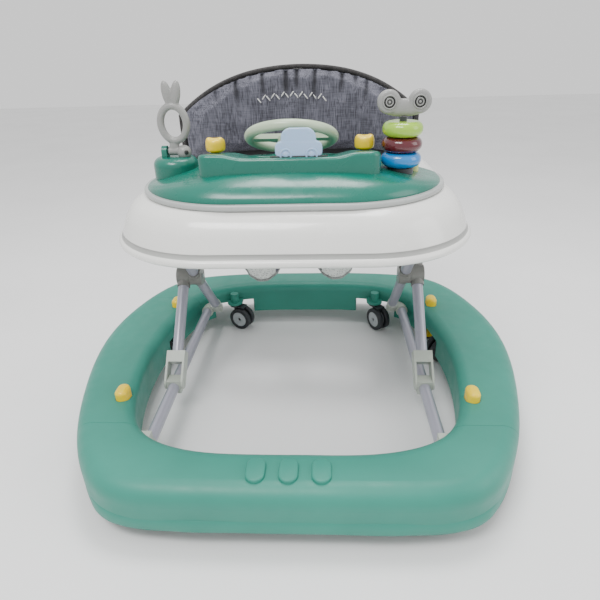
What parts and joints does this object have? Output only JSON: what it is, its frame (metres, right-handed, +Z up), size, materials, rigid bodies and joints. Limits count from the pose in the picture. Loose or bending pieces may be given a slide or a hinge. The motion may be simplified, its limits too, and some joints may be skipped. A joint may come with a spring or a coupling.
{
  "type": "baby walker",
  "caption": "Baby walker with a rounded ring base on casters, scissor legs, a hanging fabric seat with a curved backrest, and a lift-off tray of toys.",
  "frame": {"origin": "on the floor, under the middle of the base ring's width and near the middle of its length", "axes": "+Z up, -Y the front where the toy tray is, +Y the rear where the backrest is, +X to the right seen from in front, looking along +Y"},
  "size_m": [0.756, 0.6934, 0.549],
  "materials": {
    "teal": "satin",
    "white_shell": "gloss",
    "light_gray": "satin",
    "tube": "satin",
    "joint_gray": "satin",
    "hub_gray": "satin",
    "yellow": "satin",
    "rubber": "matte",
    "dark_plastic": "satin",
    "tyre": "matte",
    "steel_pin": "brushed",
    "pale_green": "satin",
    "pale_blue": "satin",
    "toy_gray": "satin",
    "bead_blue": "gloss",
    "bead_red": "gloss",
    "bead_green": "gloss",
    "fabric_gray": "woven",
    "back_board": "matte"
  },
  "bodies": {
    "base": {"ring_front": "teal", "ring_rear": "teal", "ring_left": "teal", "ring_right": "teal", "rail_sockets": "joint_gray", "rail_left": "tube", "rail_right": "tube", "rear_elbows": "joint_gray"},
    "brake_front_left": {"brake_knob_front_left": "yellow", "brake_pad_front_left": "rubber"},
    "brake_front_right": {"brake_knob_front_right": "yellow", "brake_pad_front_right": "rubber"},
    "brake_rear_left": {"brake_knob_rear_left": "yellow", "brake_pad_rear_left": "rubber"},
    "brake_rear_right": {"brake_knob_rear_right": "yellow", "brake_pad_rear_right": "rubber"},
    "caster_rear_left": {"caster_fork_rear_left": "dark_plastic"},
    "wheels_rear_left": {"caster_wheels_rear_left": "tyre"},
    "caster_rear_right": {"caster_fork_rear_right": "dark_plastic"},
    "wheels_rear_right": {"caster_wheels_rear_right": "tyre"},
    "caster_side_left": {"caster_fork_side_left": "dark_plastic"},
    "wheels_side_left": {"caster_wheels_side_left": "tyre"},
    "caster_side_right": {"caster_fork_side_right": "dark_plastic"},
    "wheels_side_right": {"caster_wheels_side_right": "tyre"},
    "caster_front_left": {"caster_fork_front_left": "dark_plastic"},
    "wheels_front_left": {"caster_wheels_front_left": "tyre"},
    "caster_front_right": {"caster_fork_front_right": "dark_plastic"},
    "wheels_front_right": {"caster_wheels_front_right": "tyre"},
    "inner_legs": {"inner_leg_left": "tube", "inner_leg_right": "tube", "inner_leg_feet": "joint_gray", "inner_cross_tube": "tube", "inner_hubs": "hub_gray", "centre_pins": "steel_pin"},
    "outer_legs": {"outer_leg_left": "tube", "outer_leg_right": "tube", "outer_leg_feet": "joint_gray", "outer_cross_tube": "tube", "outer_hubs": "hub_gray"},
    "lower_sliders": {"lower_sliders": "joint_gray"},
    "upper_sliders": {"upper_sliders": "light_gray"},
    "tray": {"tray_skirt": "white_shell", "tray_tracks": "light_gray", "rear_brackets": "light_gray", "backrest_pad": "fabric_gray", "backrest_board": "back_board", "seat_bucket": "fabric_gray"},
    "toy_tray": {"toy_tray": "teal", "tray_trim": "light_gray", "bead_post": "steel_pin", "frog_head": "toy_gray", "bunny_pod": "toy_gray"},
    "button_left": {"button_left": "yellow"},
    "button_right": {"button_right": "yellow"},
    "steering_wheel": {"steering_wheel": "pale_green"},
    "slide_car": {"slide_car": "pale_blue"},
    "bunny_ring": {"bunny_ring": "toy_gray"},
    "blue_bead": {"blue_bead": "bead_blue"},
    "red_bead": {"red_bead": "bead_red"},
    "green_bead": {"green_bead": "bead_green"}
  },
  "joints": [
    {"name": "brake_front_left_press", "type": "slide", "parent": "base", "child": "brake_front_left", "axis": [0, 0, -1], "range_m": [0, 0.01], "stiffness_N_per_m": 150, "springref_m": -0.003},
    {"name": "brake_front_right_press", "type": "slide", "parent": "base", "child": "brake_front_right", "axis": [0, 0, -1], "range_m": [0, 0.01], "stiffness_N_per_m": 150, "springref_m": -0.003},
    {"name": "brake_rear_left_press", "type": "slide", "parent": "base", "child": "brake_rear_left", "axis": [0, 0, -1], "range_m": [0, 0.01], "stiffness_N_per_m": 150, "springref_m": -0.003},
    {"name": "brake_rear_right_press", "type": "slide", "parent": "base", "child": "brake_rear_right", "axis": [0, 0, -1], "range_m": [0, 0.01], "stiffness_N_per_m": 150, "springref_m": -0.003},
    {"name": "caster_rear_left_swivel", "type": "hinge", "parent": "base", "child": "caster_rear_left", "pos_m": [-0.158, 0.236, 0.06], "axis": [0, 0, 1], "continuous": true},
    {"name": "wheels_rear_left_roll", "type": "hinge", "parent": "caster_rear_left", "child": "wheels_rear_left", "pos_m": [-0.14327, 0.22975, 0.025], "axis": [0.3907, 0.9205, 0], "continuous": true},
    {"name": "caster_rear_right_swivel", "type": "hinge", "parent": "base", "child": "caster_rear_right", "pos_m": [0.158, 0.236, 0.06], "axis": [0, 0, 1], "continuous": true},
    {"name": "wheels_rear_right_roll", "type": "hinge", "parent": "caster_rear_right", "child": "wheels_rear_right", "pos_m": [0.16648, 0.22243, 0.025], "axis": [0.848, 0.5299, 0], "continuous": true},
    {"name": "caster_side_left_swivel", "type": "hinge", "parent": "base", "child": "caster_side_left", "pos_m": [-0.292, 0.1, 0.06], "axis": [0, 0, 1], "continuous": true},
    {"name": "wheels_side_left_roll", "type": "hinge", "parent": "caster_side_left", "child": "wheels_side_left", "pos_m": [-0.27697, 0.09453, 0.025], "axis": [0.342, 0.9397, 0], "continuous": true},
    {"name": "caster_side_right_swivel", "type": "hinge", "parent": "base", "child": "caster_side_right", "pos_m": [0.292, 0.1, 0.06], "axis": [0, 0, 1], "continuous": true},
    {"name": "wheels_side_right_roll", "type": "hinge", "parent": "caster_side_right", "child": "wheels_side_right", "pos_m": [0.27697, 0.09453, 0.025], "axis": [0.342, -0.9397, 0], "continuous": true},
    {"name": "caster_front_left_swivel", "type": "hinge", "parent": "base", "child": "caster_front_left", "pos_m": [-0.175, -0.288, 0.06], "axis": [0, 0, 1], "continuous": true},
    {"name": "wheels_front_left_roll", "type": "hinge", "parent": "caster_front_left", "child": "wheels_front_left", "pos_m": [-0.167, -0.27414, 0.025], "axis": [-0.866, 0.5, 0], "continuous": true},
    {"name": "caster_front_right_swivel", "type": "hinge", "parent": "base", "child": "caster_front_right", "pos_m": [0.175, -0.288, 0.06], "axis": [0, 0, 1], "continuous": true},
    {"name": "wheels_front_right_roll", "type": "hinge", "parent": "caster_front_right", "child": "wheels_front_right", "pos_m": [0.167, -0.27414, 0.025], "axis": [-0.866, -0.5, 0], "continuous": true},
    {"name": "height_fold", "type": "hinge", "parent": "base", "child": "inner_legs", "pos_m": [0, 0.208, 0.06], "axis": [1, 0, 0], "range_deg": [0, 14.4]},
    {"name": "outer_legs_cross", "type": "hinge", "parent": "inner_legs", "child": "outer_legs", "pos_m": [0, 0.06764, 0.20036], "axis": [1, 0, 0], "range_deg": [-29, 0]},
    {"name": "upper_slider_pivot", "type": "hinge", "parent": "inner_legs", "child": "upper_sliders", "pos_m": [0, -0.07272, 0.34072], "axis": [1, 0, 0], "range_deg": [-14.6, 0]},
    {"name": "lower_slider_pivot", "type": "hinge", "parent": "outer_legs", "child": "lower_sliders", "pos_m": [0, -0.07272, 0.06], "axis": [1, 0, 0], "range_deg": [0, 14.6]},
    {"name": "tray_pivot", "type": "hinge", "parent": "outer_legs", "child": "tray", "pos_m": [0, 0.208, 0.34072], "axis": [1, 0, 0], "range_deg": [0, 14.6]},
    {"name": "toy_tray_lift", "type": "slide", "parent": "tray", "child": "toy_tray", "axis": [0, 0, 1], "range_m": [0, 0.08]},
    {"name": "button_left_press", "type": "slide", "parent": "toy_tray", "child": "button_left", "axis": [0, 0, -1], "range_m": [0, 0.004], "stiffness_N_per_m": 150, "springref_m": -0.002},
    {"name": "button_right_press", "type": "slide", "parent": "toy_tray", "child": "button_right", "axis": [0, 0, -1], "range_m": [0, 0.004], "stiffness_N_per_m": 150, "springref_m": -0.002},
    {"name": "steering_turn", "type": "hinge", "parent": "toy_tray", "child": "steering_wheel", "pos_m": [0.001, -0.038, 0.46], "axis": [0, 0.4067, 0.9135], "continuous": true},
    {"name": "car_slide", "type": "slide", "parent": "toy_tray", "child": "slide_car", "axis": [1, 0, 0], "range_m": [-0.006, 0.006]},
    {"name": "bunny_tip", "type": "hinge", "parent": "toy_tray", "child": "bunny_ring", "pos_m": [-0.176, -0.018, 0.441], "axis": [1, 0, 0], "range_deg": [-35, 35]},
    {"name": "blue_bead_spin", "type": "hinge", "parent": "toy_tray", "child": "blue_bead", "pos_m": [0.154, -0.06, 0.45], "axis": [0, 0, 1], "continuous": true},
    {"name": "red_bead_spin", "type": "hinge", "parent": "toy_tray", "child": "red_bead", "pos_m": [0.154, -0.06, 0.45], "axis": [0, 0, 1], "continuous": true},
    {"name": "green_bead_spin", "type": "hinge", "parent": "toy_tray", "child": "green_bead", "pos_m": [0.154, -0.06, 0.45], "axis": [0, 0, 1], "continuous": true}
  ],
  "couplings": [
    {"joint": "outer_legs_cross", "follows": "height_fold", "ratio": -2},
    {"joint": "upper_slider_pivot", "follows": "height_fold", "ratio": -1},
    {"joint": "lower_slider_pivot", "follows": "height_fold", "ratio": 1},
    {"joint": "tray_pivot", "follows": "height_fold", "ratio": 1}
  ]
}
